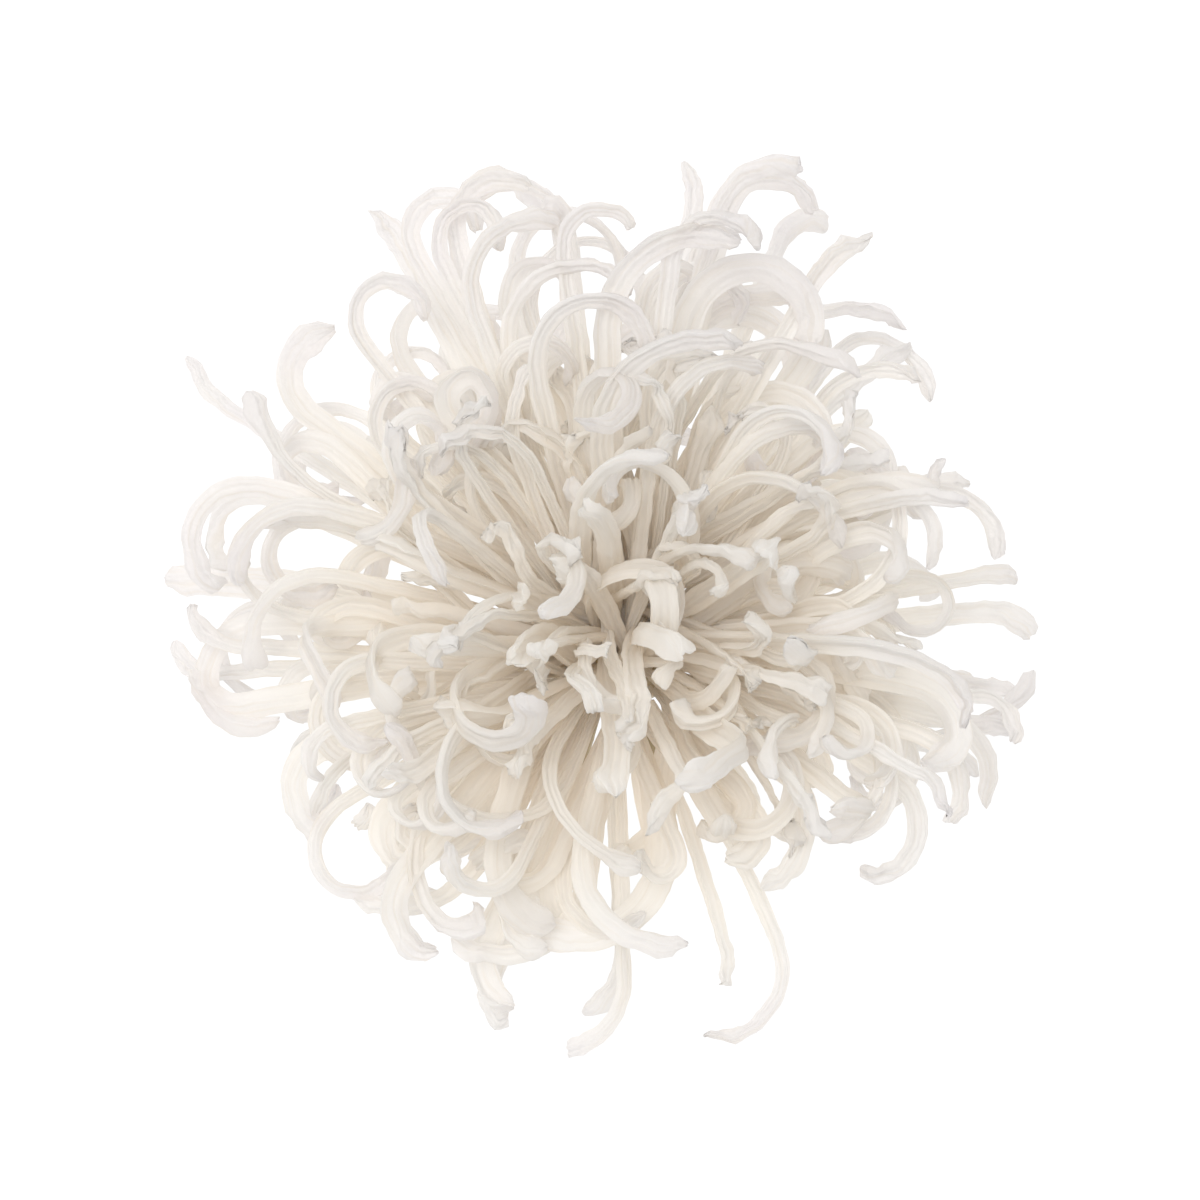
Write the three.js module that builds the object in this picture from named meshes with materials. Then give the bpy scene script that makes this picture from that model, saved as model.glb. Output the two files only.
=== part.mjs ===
// A cut spider chrysanthemum, preserved and bleached, lying on its back on a table.
// Millimetres, +Z up, the table at Z = 0. The flower faces up and leans a little towards +Y.
import * as THREE from 'three';

// ---- Sizes -------------------------------------------------------------------------
const FLORET_LENGTH = 60;       // long outer floret from root to tip, along its curve
const FLORET_WIDTH = 4.2;       // flattened tube at its broadest
const FLORET_THICKNESS = 1.1;   // the same tube, through its two layers
const ROOT_WIDTH = 1.5;         // the narrow round foot of a floret
const TIP_SHARE = 0.7;          // width of the blunt tip beside the broadest part
const RECEPTACLE_RADIUS = 7.5;  // swollen end of the stem, where the florets grow
const STEM_DIAMETER = 5.5;
const STEM_LENGTH = 14;         // what is left of the stem below the receptacle
const BRACT_LENGTH = 11;
const BRACT_WIDTH = 3.6;
const BRACT_THICKNESS = 0.8;
const BRACT_COUNT = 8;
const HEAD_LEAN = 20;           // degrees from upright, towards +Y
const BRACT_FALL = 24;          // degrees that the bracts grow below the widest part
const GAP = 0.35;               // clear air left between pieces that lie together
const SLACK = 0.02;             // want of room too small to mend while settling

// ---- Fineness of the solids and of the settling ------------------------------------
const STEPS = 16;               // stations along a floret
const BRACT_STEPS = 5;
const STEM_SIDES = 20;
const SPREAD_ROUNDS = 60;
const SETTLE_ROUNDS = 260;
const BEADS_PER_STEP = 4;       // test points between two stations while settling
const BEAD_ROWS = [-1, 0, 1];   // and across the blade: its two edges and its middle

// ---- The florets -------------------------------------------------------------------
// One line per floret:
//   bearing: direction it leaves in, degrees from +X towards +Y
//   rise:    degrees above level at the root
//   length:  percent of FLORET_LENGTH
//   sweep:   degrees it turns left along its whole length (negative: right)
//   droop:   degrees it sinks along its whole length
//   hook:    degrees its end curls
//   side:    where the end curls to: 0 up, 90 left, -90 right, 180 down
//   share:   percent of the length that the curled end takes
//   width:   percent of FLORET_WIDTH
//   twist:   degrees the blade turns about itself by the tip
const FLORETS = [
  // the outermost whorl, long and nearly level, some of them lying on the table
  [166, -4, 97, 10, 48, 25, 0, 15, 115, 0],
  [148, -2, 110, 0, 42, 30, -60, 10, 80, 20],
  [119, 0, 106, -2, 36, 20, 90, 10, 105, 10],
  [98, 0, 102, 0, 40, 45, 90, 15, 95, 30],
  [80, 0, 104, 0, 42, 25, 90, 12, 90, 15],
  [79, 8, 108, -4, 34, 75, -90, 20, 85, 30],
  [70, 2, 100, -4, 32, 60, -90, 12, 80, 20],
  [60, 12, 80, -8, 26, 120, 160, 20, 110, 10],
  [55, 0, 104, -4, 46, 130, -90, 28, 85, 30],
  [12, 10, 76, -2, 26, 20, -90, 10, 85, 30],
  [7, 4, 82, -2, 30, 55, -90, 15, 100, 15],
  [-4, -2, 86, -4, 54, 20, 0, 10, 95, 0],
  [-32, 2, 97, 55, 60, 20, 90, 10, 80, 20],
  [-10, 10, 82, -4, 28, 90, -90, 28, 85, 30],
  [-57, 16, 88, -14, 26, 105, -90, 32, 80, 30],
  [-89, 16, 80, 0, 30, 80, -90, 25, 85, 30],
  [-111, 18, 76, 0, 34, 120, 90, 10, 80, 20],
  [195, 0, 90, 0, 56, 130, 90, 30, 65, 30],
  [-173, 10, 84, 4, 30, 80, -90, 15, 105, 10],
  // the next whorls, rising more and hooked at the end
  [78, 16, 110, -2, 28, 140, -90, 22, 80, 30],
  [82, 26, 104, -12, 22, 170, -90, 36, 110, 25],
  [54, 30, 84, -25, 22, 190, -90, 35, 85, 30],
  [34, 18, 86, -18, 22, 100, -90, 30, 90, 30],
  [-14, 22, 78, -4, 24, 100, -90, 28, 85, 30],
  [-18, 28, 80, 0, 24, 190, -90, 42, 90, 35],
  [-60, 34, 74, 0, 8, 250, 80, 52, 85, 30],
  [-76, 30, 72, 0, 16, 130, -90, 55, 140, 15],
  [-98, 26, 74, 0, 18, 110, -90, 45, 95, 20],
  [-123, 22, 72, 0, 22, 80, -90, 38, 90, 20],
  [-163, 16, 78, 0, 24, 140, 90, 30, 105, 20],
  [148, 20, 105, 22, 28, 150, 90, 30, 95, 25],
  [143, 28, 90, 34, 18, 100, 90, 28, 85, 30],
  [161, 24, 84, 12, 22, 120, 90, 35, 90, 30],
  [143, 10, 95, 0, 24, 130, -90, 23, 110, 15],
  [131, 20, 102, -4, 22, 200, -90, 25, 70, 30],
  [118, 16, 106, -18, 24, 120, -90, 20, 95, 30],
  [116, 26, 100, -10, 22, 120, -90, 28, 85, 25],
  [98, 26, 97, 0, 22, 150, -90, 20, 85, 30],
  // the upper whorls, towards the middle of the head
  [110, 38, 98, -10, 16, 180, -90, 36, 80, 25],
  [92, 36, 102, 0, 18, 110, -90, 35, 105, 20],
  [95, 48, 92, 0, 16, 120, -90, 42, 115, 20],
  [60, 48, 76, 0, 14, 150, -90, 48, 80, 30],
  [14, 34, 84, 0, 16, 150, 90, 48, 80, 30],
  [40, 34, 84, -16, 18, 130, -90, 36, 90, 30],
  [-112, 44, 68, 0, 10, 150, -90, 58, 85, 25],
  [-125, 56, 66, 0, 6, 120, 90, 55, 90, 25],
  // the innermost tuft
  [95, 66, 56, 0, 6, 30, 90, 30, 105, 20],
  [150, 64, 50, 0, 6, 60, 0, 30, 110, 20],
  [35, 58, 58, 0, 10, 40, 0, 30, 95, 20],
  [-35, 66, 44, 0, 4, 90, 80, 40, 90, 30],
];

// ---- Frame of the head -------------------------------------------------------------
const DEG = Math.PI / 180;
const UP = new THREE.Vector3(0, 0, 1);
const AXIS = new THREE.Vector3(0, Math.sin(HEAD_LEAN * DEG), Math.cos(HEAD_LEAN * DEG));
const STEM_RADIUS = STEM_DIAMETER / 2;
// The cut stem just reaches the table with its lowest edge.
const HEAD_HEIGHT = (RECEPTACLE_RADIUS + STEM_LENGTH) * Math.cos(HEAD_LEAN * DEG)
  + STEM_RADIUS * Math.sin(HEAD_LEAN * DEG);
const HEAD = new THREE.Vector3(0, 0, HEAD_HEIGHT);
const ROOT_RADIUS = RECEPTACLE_RADIUS + GAP;

function direction(bearing, rise) {
  const level = Math.cos(rise * DEG);
  return new THREE.Vector3(
    level * Math.cos(bearing * DEG),
    level * Math.sin(bearing * DEG),
    Math.sin(rise * DEG),
  );
}

// A floret's width at a share of its length: a narrow foot, a broad blade, a blunt tip.
function widthAt(blade, share) {
  const opening = THREE.MathUtils.smoothstep(share, 0, 0.45);
  const closing = THREE.MathUtils.smoothstep(share, 0.8, 1);
  const broad = blade.rootWidth + (blade.width - blade.rootWidth) * opening;
  return broad * (1 - (1 - TIP_SHARE) * closing);
}

function florets() {
  return FLORETS.map((row, index) => {
    const [bearing, rise, length, sweep, droop, hook, side, share, width, twist] = row;
    return {
      name: `floret_${String(index + 1).padStart(2, '0')}`,
      kind: 'floret',
      heading: direction(bearing, rise),
      length: FLORET_LENGTH * length / 100,
      sweep, droop, hook, side, twist,
      hookShare: share / 100,
      width: FLORET_WIDTH * width / 100,
      rootWidth: ROOT_WIDTH,
      thickness: FLORET_THICKNESS,
      steps: STEPS,
    };
  });
}

function bracts() {
  const list = [];
  const lean = new THREE.Quaternion().setFromUnitVectors(UP, AXIS);
  for (let index = 0; index < BRACT_COUNT; index += 1) {
    const bearing = 360 * (index + 0.5) / BRACT_COUNT;
    list.push({
      name: `bract_${index + 1}`,
      kind: 'bract',
      heading: direction(bearing, -BRACT_FALL).applyQuaternion(lean),
      length: BRACT_LENGTH,
      sweep: 0, droop: -BRACT_FALL, hook: 0, side: 0, twist: 0,
      hookShare: 0.5,
      width: BRACT_WIDTH,
      rootWidth: BRACT_WIDTH * 0.7,
      thickness: BRACT_THICKNESS,
      steps: BRACT_STEPS,
    });
  }
  return list;
}

// The feet push one another along the round receptacle until each has room.
function spreadRoots(blades) {
  for (const blade of blades) blade.site = blade.heading.clone();
  for (let round = 0; round < SPREAD_ROUNDS; round += 1) {
    for (let i = 0; i < blades.length; i += 1) {
      for (let j = i + 1; j < blades.length; j += 1) {
        const a = blades[i];
        const b = blades[j];
        const room = ((a.rootWidth + b.rootWidth) / 2 + GAP) / ROOT_RADIUS;
        const apart = b.site.clone().sub(a.site);
        const lacking = room - apart.length();
        if (lacking <= 0) continue;
        apart.normalize().multiplyScalar(lacking / 2);
        const fixedA = a.kind === 'bract';
        const fixedB = b.kind === 'bract';
        if (!fixedA) a.site.addScaledVector(apart, fixedB ? -2 : -1).normalize();
        if (!fixedB) b.site.addScaledVector(apart, fixedA ? 2 : 1).normalize();
      }
    }
  }
}

// A blade grows from its root in equal steps, turning a little at each one.
function grow(blade) {
  const step = blade.length / blade.steps;
  const heading = blade.heading.clone();
  const left = new THREE.Vector3().crossVectors(UP, heading).normalize();
  const over = new THREE.Vector3().crossVectors(heading, left);
  const points = [HEAD.clone().addScaledVector(blade.site, ROOT_RADIUS)];
  blade.left = left.clone();
  const turn = new THREE.Quaternion();
  for (let station = 0; station < blade.steps; station += 1) {
    const share = (station + 0.5) / blade.steps;
    const curling = THREE.MathUtils.smoothstep(
      share, 1 - blade.hookShare * 1.3, 1 - blade.hookShare * 0.7);
    const curl = blade.hook * curling / (blade.hookShare * blade.steps);
    const turnLeft = blade.sweep / blade.steps + curl * Math.sin(blade.side * DEG);
    const turnUp = curl * Math.cos(blade.side * DEG) - blade.droop / blade.steps;
    for (const [axis, angle] of [[over, turnLeft], [left, -turnUp]]) {
      turn.setFromAxisAngle(axis.clone(), angle * DEG);
      heading.applyQuaternion(turn);
      left.applyQuaternion(turn);
      over.applyQuaternion(turn);
    }
    points.push(points[station].clone().addScaledVector(heading, step));
  }
  blade.points = points;
}

// Directions along, across and through the blade at every station.
function frames(blade) {
  const { points, steps } = blade;
  const list = [];
  let across = blade.left.clone();
  for (let station = 0; station <= steps; station += 1) {
    const before = points[Math.max(station - 1, 0)];
    const after = points[Math.min(station + 1, steps)];
    const along = after.clone().sub(before).normalize();
    across = across.clone().addScaledVector(along, -across.dot(along)).normalize();
    const twist = blade.twist * DEG * station / steps;
    const turned = across.clone().applyAxisAngle(along, twist);
    list.push({ across: turned, through: along.clone().cross(turned) });
  }
  return list;
}

// Test points on a blade: three rows of beads as thick as the blade.
function beads(blade) {
  const turned = frames(blade);
  const list = [];
  for (let bead = 0; bead <= blade.steps * BEADS_PER_STEP; bead += 1) {
    const place = bead / BEADS_PER_STEP;
    const station = Math.min(Math.floor(place), blade.steps - 1);
    const part = place - station;
    const centre = blade.points[station].clone().lerp(blade.points[station + 1], part);
    const across = turned[station].across.clone().lerp(turned[station + 1].across, part);
    const share = place / blade.steps;
    const reach = Math.max(widthAt(blade, share) - blade.thickness, 0) / 2;
    for (const row of BEAD_ROWS) {
      list.push({ blade, share, at: centre.clone().addScaledVector(across, row * reach) });
    }
  }
  return list;
}

// How far a springy strip held at its root moves at `share` when pushed at `pushed`.
function bend(share, pushed) {
  const place = Math.max(pushed, 0.25);
  if (share <= place) return share * share * (3 * place - share) / (2 * place ** 3);
  return 1 + 1.5 * (share - place) / place;
}

function push(blade, pushed, by) {
  const step = blade.length / blade.steps;
  const moved = blade.points.map((point, station) => (
    point.clone().addScaledVector(by, bend(station / blade.steps, pushed))));
  for (let station = 1; station <= blade.steps; station += 1) {
    const segment = moved[station].sub(moved[station - 1]).setLength(step);
    moved[station] = moved[station - 1].clone().add(segment);
  }
  blade.points = moved;
}

// Beads sorted into cells, so that only near ones are compared.
function nearPairs(all, cell) {
  const cells = new Map();
  const key = (x, y, z) => `${x},${y},${z}`;
  const place = (bead) => [bead.at.x, bead.at.y, bead.at.z].map((v) => Math.floor(v / cell));
  for (const bead of all) {
    const home = key(...place(bead));
    if (!cells.has(home)) cells.set(home, []);
    cells.get(home).push(bead);
  }
  const deepest = new Map();
  for (const bead of all) {
    const [x, y, z] = place(bead);
    for (let dx = -1; dx <= 1; dx += 1) {
      for (let dy = -1; dy <= 1; dy += 1) {
        for (let dz = -1; dz <= 1; dz += 1) {
          for (const other of cells.get(key(x + dx, y + dy, z + dz)) ?? []) {
            if (other.blade.order <= bead.blade.order) continue;
            const need = (bead.blade.thickness + other.blade.thickness) / 2 + GAP;
            const lacking = need - bead.at.distanceTo(other.at);
            if (lacking <= SLACK) continue;
            const pair = bead.blade.order * 1000 + other.blade.order;
            const known = deepest.get(pair);
            if (!known || known.lacking < lacking) deepest.set(pair, { bead, other, lacking });
          }
        }
      }
    }
  }
  return [...deepest.values()];
}

// Blades that cross bend away from each other, and none sinks into the table.
function settle(blades) {
  blades.forEach((blade, order) => { blade.order = order; });
  const cell = Math.max(...blades.map((blade) => blade.thickness)) + GAP;
  for (let round = 0; round < SETTLE_ROUNDS; round += 1) {
    const all = blades.flatMap(beads);
    const pairs = nearPairs(all, cell);
    for (const { bead, other, lacking } of pairs) {
      const apart = bead.at.clone().sub(other.at);
      if (apart.length() < 1e-6) apart.copy(UP);
      apart.setLength(lacking * 0.55);
      push(bead.blade, bead.share, apart);
      push(other.blade, other.share, apart.negate());
    }
    const lowest = new Map();
    for (const bead of all) {
      const depth = bead.blade.thickness / 2 - bead.at.z;
      const known = lowest.get(bead.blade)?.depth ?? SLACK;
      if (depth > known) lowest.set(bead.blade, { bead, depth });
    }
    for (const { bead, depth } of lowest.values()) {
      push(bead.blade, bead.share, UP.clone().multiplyScalar(depth));
    }
    if (pairs.length === 0 && lowest.size === 0) return round;
  }
  return SETTLE_ROUNDS;
}

// ---- Solids ------------------------------------------------------------------------
// Cross section of a flattened tube, one unit wide and one unit thick.
function sectionShape() {
  const shape = new THREE.Shape();
  shape.moveTo(-0.5, 0);
  shape.lineTo(-0.25, -0.5);
  shape.lineTo(0.25, -0.5);
  shape.lineTo(0.5, 0);
  shape.lineTo(0.25, 0.5);
  shape.lineTo(-0.25, 0.5);
  shape.closePath();
  return shape;
}

// A straight bar of that section, each of whose stations is carried to the blade's path.
function bladeGeometry(blade) {
  const bar = new THREE.ExtrudeGeometry(sectionShape(), {
    depth: 1, steps: blade.steps, bevelEnabled: false, curveSegments: 1,
  });
  const turned = frames(blade);
  const position = bar.attributes.position;
  for (let index = 0; index < position.count; index += 1) {
    const share = position.getZ(index);
    const station = Math.round(share * blade.steps);
    const { across, through } = turned[station];
    const at = blade.points[station].clone()
      .addScaledVector(across, position.getX(index) * widthAt(blade, share))
      .addScaledVector(through, position.getY(index) * blade.thickness);
    position.setXYZ(index, at.x, at.y, at.z);
  }
  bar.computeVertexNormals();
  return bar;
}

// Stem and receptacle grew as one piece: a turned profile along the head's axis.
function stemGeometry() {
  const profile = [new THREE.Vector2(0, -RECEPTACLE_RADIUS - STEM_LENGTH)];
  profile.push(new THREE.Vector2(STEM_RADIUS, -RECEPTACLE_RADIUS - STEM_LENGTH));
  profile.push(new THREE.Vector2(STEM_RADIUS, -RECEPTACLE_RADIUS * 1.25));
  for (let angle = -55; angle < 90; angle += 14.5) {
    profile.push(new THREE.Vector2(
      RECEPTACLE_RADIUS * Math.cos(angle * DEG),
      RECEPTACLE_RADIUS * Math.sin(angle * DEG),
    ));
  }
  profile.push(new THREE.Vector2(0, RECEPTACLE_RADIUS));
  const geometry = new THREE.LatheGeometry(profile, STEM_SIDES);
  const lathe = new THREE.Vector3(0, 1, 0);
  geometry.applyQuaternion(new THREE.Quaternion().setFromUnitVectors(lathe, AXIS));
  geometry.translate(HEAD.x, HEAD.y, HEAD.z);
  return geometry;
}

const COLOURS = {
  floret: 0xf1ece2,
  bract: 0xb9a98c,
  stem: 0xa8967a,
};

function addPiece(group, name, kind, geometry) {
  const material = new THREE.MeshStandardMaterial({
    color: COLOURS[kind], roughness: 0.6, metalness: 0, side: THREE.FrontSide,
  });
  material.name = kind;
  const mesh = new THREE.Mesh(geometry, material);
  mesh.name = name;
  group.add(mesh);
}

const blades = [...florets(), ...bracts()];
spreadRoots(blades);
blades.forEach(grow);
settle(blades);

const flower = new THREE.Group();
flower.name = 'chrysanthemum';
addPiece(flower, 'stem', 'stem', stemGeometry());
for (const blade of blades) addPiece(flower, blade.name, blade.kind, bladeGeometry(blade));

// The origin is on the table, under the middle of the whole flower.
const box = new THREE.Box3().setFromObject(flower);
const middle = box.getCenter(new THREE.Vector3());
flower.position.set(-middle.x, -middle.y, -box.min.z);
flower.updateMatrixWorld(true);

export default flower;
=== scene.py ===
# %% [markdown]
# # A preserved spider chrysanthemum, made in Blender
# The flower is the head of a spider chrysanthemum, bleached white and preserved so that it keeps
# its shape, with a short cut stem. It lies on its back and looks up. Nearly all of it is one
# kind of piece, repeated nearly three hundred times: the ray floret, a thin tube that is
# flattened towards its end and finishes in a hook, a ring or a crumpled knob.
# The frame gives fifty of those florets, the bracts and the stem their places.

# %% Load the frame
import math
import random

import bpy
import numpy as np
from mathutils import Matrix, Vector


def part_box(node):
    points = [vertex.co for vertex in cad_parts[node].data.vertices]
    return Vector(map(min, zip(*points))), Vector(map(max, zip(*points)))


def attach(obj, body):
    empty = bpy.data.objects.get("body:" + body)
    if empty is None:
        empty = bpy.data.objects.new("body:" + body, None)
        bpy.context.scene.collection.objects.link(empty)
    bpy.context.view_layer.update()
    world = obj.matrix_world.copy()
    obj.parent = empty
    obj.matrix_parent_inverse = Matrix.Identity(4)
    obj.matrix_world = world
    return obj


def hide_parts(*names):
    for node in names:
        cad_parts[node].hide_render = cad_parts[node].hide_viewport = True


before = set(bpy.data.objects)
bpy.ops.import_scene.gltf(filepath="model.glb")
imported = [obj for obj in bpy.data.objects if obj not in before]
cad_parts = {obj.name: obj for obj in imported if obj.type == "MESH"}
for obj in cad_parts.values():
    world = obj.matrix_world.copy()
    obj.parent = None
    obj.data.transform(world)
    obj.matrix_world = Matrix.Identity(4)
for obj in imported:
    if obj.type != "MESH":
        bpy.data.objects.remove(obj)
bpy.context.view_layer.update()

# %% [markdown]
# ## Sizes
# All lengths are in metres, because the frame is. They are the sizes of a real floret: about
# 60 mm long, 4 mm wide once it is flattened, and hardly a millimetre through.

# %% Sizes of the flower
MM = 0.001
FLORET_LENGTH = 60 * MM
FLORET_WIDTH = 4.2 * MM
FLORET_THICKNESS = 1.1 * MM
ROOT_WIDTH = 1.5 * MM
FINE_ROOT_WIDTH = 0.8 * MM
TIP_SHARE = 0.7
RECEPTACLE_RADIUS = 7.5 * MM
STEM_DIAMETER = 5.5 * MM
STEM_LENGTH = 14 * MM
BRACT_LENGTH = 11 * MM
BRACT_WIDTH = 3.6 * MM
BRACT_THICKNESS = 0.8 * MM
BRACT_COUNT = 8
HEAD_LEAN = 20
BRACT_FALL = 24
GAP = 0.35 * MM
SLACK = 0.02 * MM
STEPS = 16
BRACT_STEPS = 5

# %% [markdown]
# ## The florets, one line each
# A floret could be drawn point by point, but a grower would describe it by how it grows: the
# way it sets out, how steeply it rises, how long it is, how it bends on the way and how its
# end curls. Ten numbers a line say that, and are easy to change by hand.
# The columns are bearing, rise, length, sweep, droop, hook, side, share, width and twist:
# bearing and rise are where it sets out to, in degrees; length and width are percent of the
# sizes above; sweep turns it left and droop sinks it over its whole length; hook is how far
# its end curls, side where to (0 up, 90 left, -90 right, 180 down), share the percent of the
# length that curls; twist turns the blade about itself by the tip.

# %% The fifty florets that the frame holds
FLORETS = [
    [166, -4, 97, 10, 48, 25, 0, 15, 115, 0],
    [148, -2, 110, 0, 42, 30, -60, 10, 80, 20],
    [119, 0, 106, -2, 36, 20, 90, 10, 105, 10],
    [98, 0, 102, 0, 40, 45, 90, 15, 95, 30],
    [80, 0, 104, 0, 42, 25, 90, 12, 90, 15],
    [79, 8, 108, -4, 34, 75, -90, 20, 85, 30],
    [70, 2, 100, -4, 32, 60, -90, 12, 80, 20],
    [60, 12, 80, -8, 26, 120, 160, 20, 110, 10],
    [55, 0, 104, -4, 46, 130, -90, 28, 85, 30],
    [12, 10, 76, -2, 26, 20, -90, 10, 85, 30],
    [7, 4, 82, -2, 30, 55, -90, 15, 100, 15],
    [-4, -2, 86, -4, 54, 20, 0, 10, 95, 0],
    [-32, 2, 97, 55, 60, 20, 90, 10, 80, 20],
    [-10, 10, 82, -4, 28, 90, -90, 28, 85, 30],
    [-57, 16, 88, -14, 26, 105, -90, 32, 80, 30],
    [-89, 16, 80, 0, 30, 80, -90, 25, 85, 30],
    [-111, 18, 76, 0, 34, 120, 90, 10, 80, 20],
    [195, 0, 90, 0, 56, 130, 90, 30, 65, 30],
    [-173, 10, 84, 4, 30, 80, -90, 15, 105, 10],
    [78, 16, 110, -2, 28, 140, -90, 22, 80, 30],
    [82, 26, 104, -12, 22, 170, -90, 36, 110, 25],
    [54, 30, 84, -25, 22, 190, -90, 35, 85, 30],
    [34, 18, 86, -18, 22, 100, -90, 30, 90, 30],
    [-14, 22, 78, -4, 24, 100, -90, 28, 85, 30],
    [-18, 28, 80, 0, 24, 190, -90, 42, 90, 35],
    [-60, 34, 74, 0, 8, 250, 80, 52, 85, 30],
    [-76, 30, 72, 0, 16, 130, -90, 55, 140, 15],
    [-98, 26, 74, 0, 18, 110, -90, 45, 95, 20],
    [-123, 22, 72, 0, 22, 80, -90, 38, 90, 20],
    [-163, 16, 78, 0, 24, 140, 90, 30, 105, 20],
    [148, 20, 105, 22, 28, 150, 90, 30, 95, 25],
    [143, 28, 90, 34, 18, 100, 90, 28, 85, 30],
    [161, 24, 84, 12, 22, 120, 90, 35, 90, 30],
    [143, 10, 95, 0, 24, 130, -90, 23, 110, 15],
    [131, 20, 102, -4, 22, 200, -90, 25, 70, 30],
    [118, 16, 106, -18, 24, 120, -90, 20, 95, 30],
    [116, 26, 100, -10, 22, 120, -90, 28, 85, 25],
    [98, 26, 97, 0, 22, 150, -90, 20, 85, 30],
    [110, 38, 98, -10, 16, 180, -90, 36, 80, 25],
    [92, 36, 102, 0, 18, 110, -90, 35, 105, 20],
    [95, 48, 92, 0, 16, 120, -90, 42, 115, 20],
    [60, 48, 76, 0, 14, 150, -90, 48, 80, 30],
    [14, 34, 84, 0, 16, 150, 90, 48, 80, 30],
    [40, 34, 84, -16, 18, 130, -90, 36, 90, 30],
    [-112, 44, 68, 0, 10, 150, -90, 58, 85, 25],
    [-125, 56, 66, 0, 6, 120, 90, 55, 90, 25],
    [95, 66, 56, 0, 6, 30, 90, 30, 105, 20],
    [150, 64, 50, 0, 6, 60, 0, 30, 110, 20],
    [35, 58, 58, 0, 10, 40, 0, 30, 95, 20],
    [-35, 66, 44, 0, 4, 90, 80, 40, 90, 30],
]
print(len(FLORETS), "florets stand for nodes of the frame")

# %% More florets between them
MORE_FLORETS = [
    [77, 8, 106, 0, 34, 20, -90, 10, 80, 20],
    [48, 20, 82, 0, 24, 60, -90, 20, 60, 60],
    [-8, 8, 78, 0, 30, 40, 180, 12, 95, 0],
    [-12, 6, 84, 4, 34, 20, 0, 10, 90, 0],
    [-24, 38, 66, 0, 16, 160, -90, 50, 95, 20],
    [-22, 26, 76, 0, 16, 140, -90, 50, 85, 35],
    [-60, 20, 72, -8, 16, 40, -90, 12, 75, 25],
    [-92, 14, 78, 0, 28, 55, -90, 25, 75, 35],
    [184, 12, 84, 0, 26, 90, -90, 15, 95, 10],
    [147, 24, 86, 0, 18, 60, -90, 30, 70, 60],
    [131, 28, 88, 0, 18, 190, -90, 32, 75, 35],
    [107, 30, 96, 0, 18, 140, -90, 16, 75, 30],
    [105, 40, 70, 0, 18, 130, -90, 20, 70, 30],
    [100, 12, 110, 0, 24, 140, -90, 22, 85, 30],
    [86, 18, 90, 0, 22, 220, 0, 18, 90, 10],
    [92, 40, 96, -4, 16, 120, -90, 36, 115, 20],
    [103, 46, 90, -4, 14, 130, -90, 40, 90, 20],
    [13, 28, 76, 0, 18, 110, -90, 35, 105, 20],
    [75, 62, 58, 0, 6, 30, -90, 30, 100, 30],
    [112, 60, 56, 0, 6, 40, 60, 30, 100, -30],
    [165, 50, 52, 0, 10, 60, 90, 40, 110, 40],
    [55, 66, 50, 0, 6, 50, 90, 40, 95, 20],
    [-100, 20, 66, 0, 20, 150, 90, 40, 90, 30],
    [-160, 34, 66, 0, 20, 160, -90, 40, 90, 20],
    [173, 2, 92, 0, 32, 60, -90, 14, 80, 20],
    [165, 8, 100, 0, 28, 190, 90, 30, 85, 20],
    [158, 4, 100, 4, 30, 150, 90, 26, 80, 20],
    [84, 6, 108, 0, 32, 100, -90, 18, 80, 20],
    [76, 12, 106, 0, 30, 130, -90, 24, 85, 20],
    [88, 16, 108, 0, 28, 150, -90, 26, 90, 20],
    [66, 6, 98, 0, 36, 40, -90, 14, 80, 20],
    [-4, 0, 84, 0, 30, 50, -90, 12, 85, 20],
    [-10, 6, 86, 0, 30, 80, -90, 18, 85, 20],
    [-14, 2, 84, 6, 34, 60, -90, 12, 80, 20],
    [170, 38, 62, -8, 10, 60, -90, 15, 100, 30],
    [188, 46, 70, 75, 26, 120, 90, 32, 105, 20],
    [-104, 40, 78, -10, 20, 115, 90, 42, 105, 20],
    [158, 50, 44, 10, 20, 50, 180, 30, 125, 60],
    [150, 54, 56, 12, 16, 60, 180, 30, 120, -40],
    [-5, 48, 38, 0, 4, 80, 90, 46, 75, 0],
    [104, 66, 54, 0, 8, 120, 160, 28, 130, 20],
    [88, 62, 58, 0, 8, 130, 170, 30, 115, 0],
    [76, 56, 60, 8, 8, 140, 150, 30, 110, -10],
    [62, 52, 62, 0, 8, 120, -160, 30, 105, 20],
    [42, 46, 60, -6, 10, 90, 90, 30, 85, 30],
    [34, 50, 56, 6, 10, 60, -90, 26, 80, 20],
]
print(len(MORE_FLORETS), "more are placed by hand")

# %% [markdown]
# ## Florets that fill the head
# The rest only have to look grown. Chrysanthemum florets sit on their receptacle in spirals:
# each one is turned from the one before by the golden angle, about 137.5 degrees, which is
# also the simplest way to fill a round head evenly. Length, hook and width vary by chance,
# from a fixed seed, so that every run gives the same flower.

# %% Fill the head in spirals
GOLDEN_ANGLE = 137.508
FILL_COUNT = 190
FILL_SEED = 11
LOWEST_RISE, HIGHEST_RISE = 2, 60
LOWER_SIDE_ARCH = 28
STRAY_SIDES = 0.15
HOOK_ANGLES = [110, 150, 180, 210, 240, 270, 310]
LEFT_FROM, LEFT_TO = 135, 235
REACH_BEARINGS = [0, 30, 60, 90, 120, 150, 180, 210, 240, 270, 300, 330, 360]
REACHES = [94, 76, 98, 124, 106, 99, 102, 84, 74, 62, 42, 66, 94]
KEPT = [1, 1, 1, 1, 0.8, 0.8, 0.95, 0.8, 0.7, 0.5, 0.3, 0.6, 1]


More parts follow.
